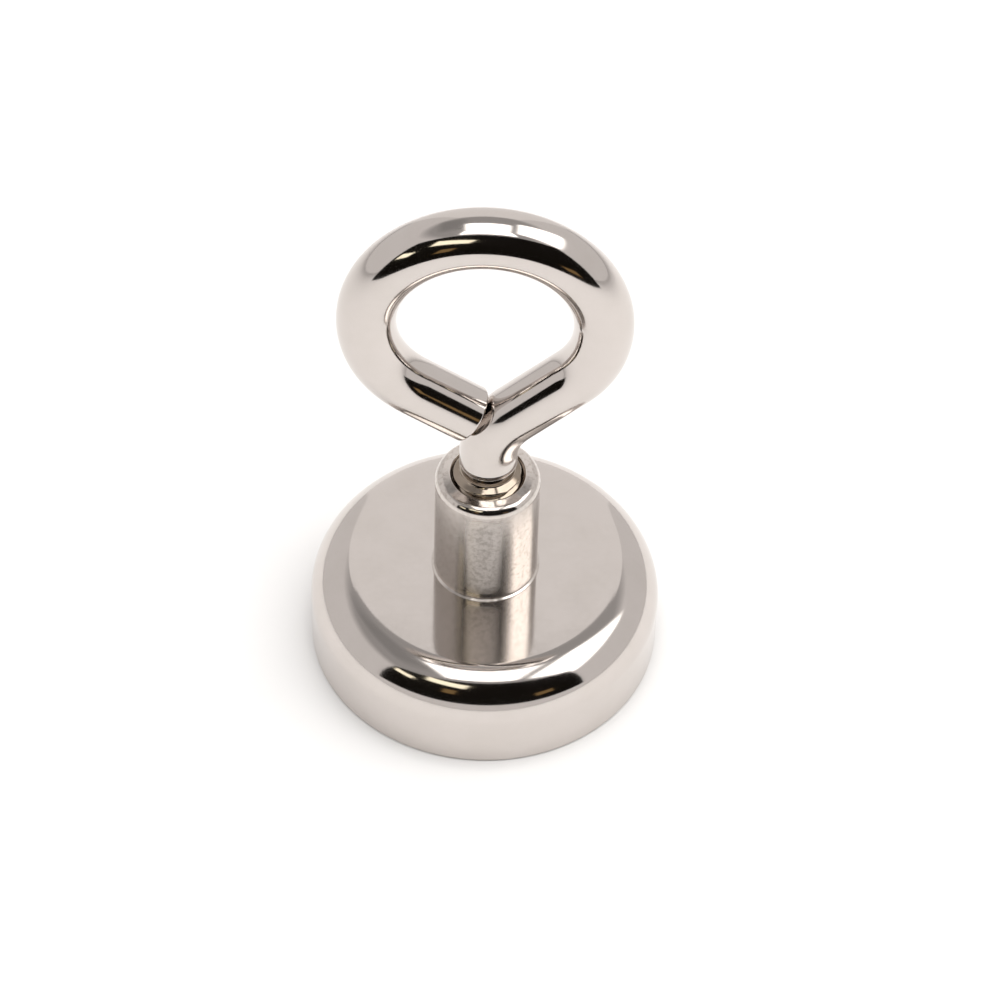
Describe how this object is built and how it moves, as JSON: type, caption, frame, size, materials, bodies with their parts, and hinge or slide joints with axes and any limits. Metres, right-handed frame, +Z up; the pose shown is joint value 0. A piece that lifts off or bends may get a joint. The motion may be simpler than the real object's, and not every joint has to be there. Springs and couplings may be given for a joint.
{
  "type": "magnet fishing magnet",
  "caption": "Round pot magnet with a flat pulling face below, a threaded bush on top and a bent wire eye bolt that takes a rope for magnet fishing.",
  "frame": {"origin": "centre of the pulling face, in the plane that the pot's rim rests on", "axes": "+Z up along the bush and the eye bolt's shank; the eye lies in the XZ plane, with its shank leg on +X and its free leg on -X, so a rope passes through it along Y"},
  "size_m": [0.025, 0.025, 0.0413],
  "materials": {
    "nickel_plate": "bright nickel plating on steel",
    "satin_nickel": "nickel plating over a turned, slightly grainy surface",
    "magnet_plating": "dull nickel plating with fine handling scratches",
    "resin": "cured dark potting resin"
  },
  "bodies": {
    "magnet_base": {"steel_pot": "nickel_plate", "threaded_bush": "satin_nickel", "disc_magnet": "magnet_plating", "resin_ring": "resin", "resin_bed": "resin"},
    "eye": {"eye_bolt": "nickel_plate"}
  },
  "joints": [
    {"name": "eye_screw", "type": "hinge", "parent": "magnet_base", "child": "eye", "pos_m": [0, 0, 0.01663], "axis": [0, 0, 1], "continuous": true}
  ]
}
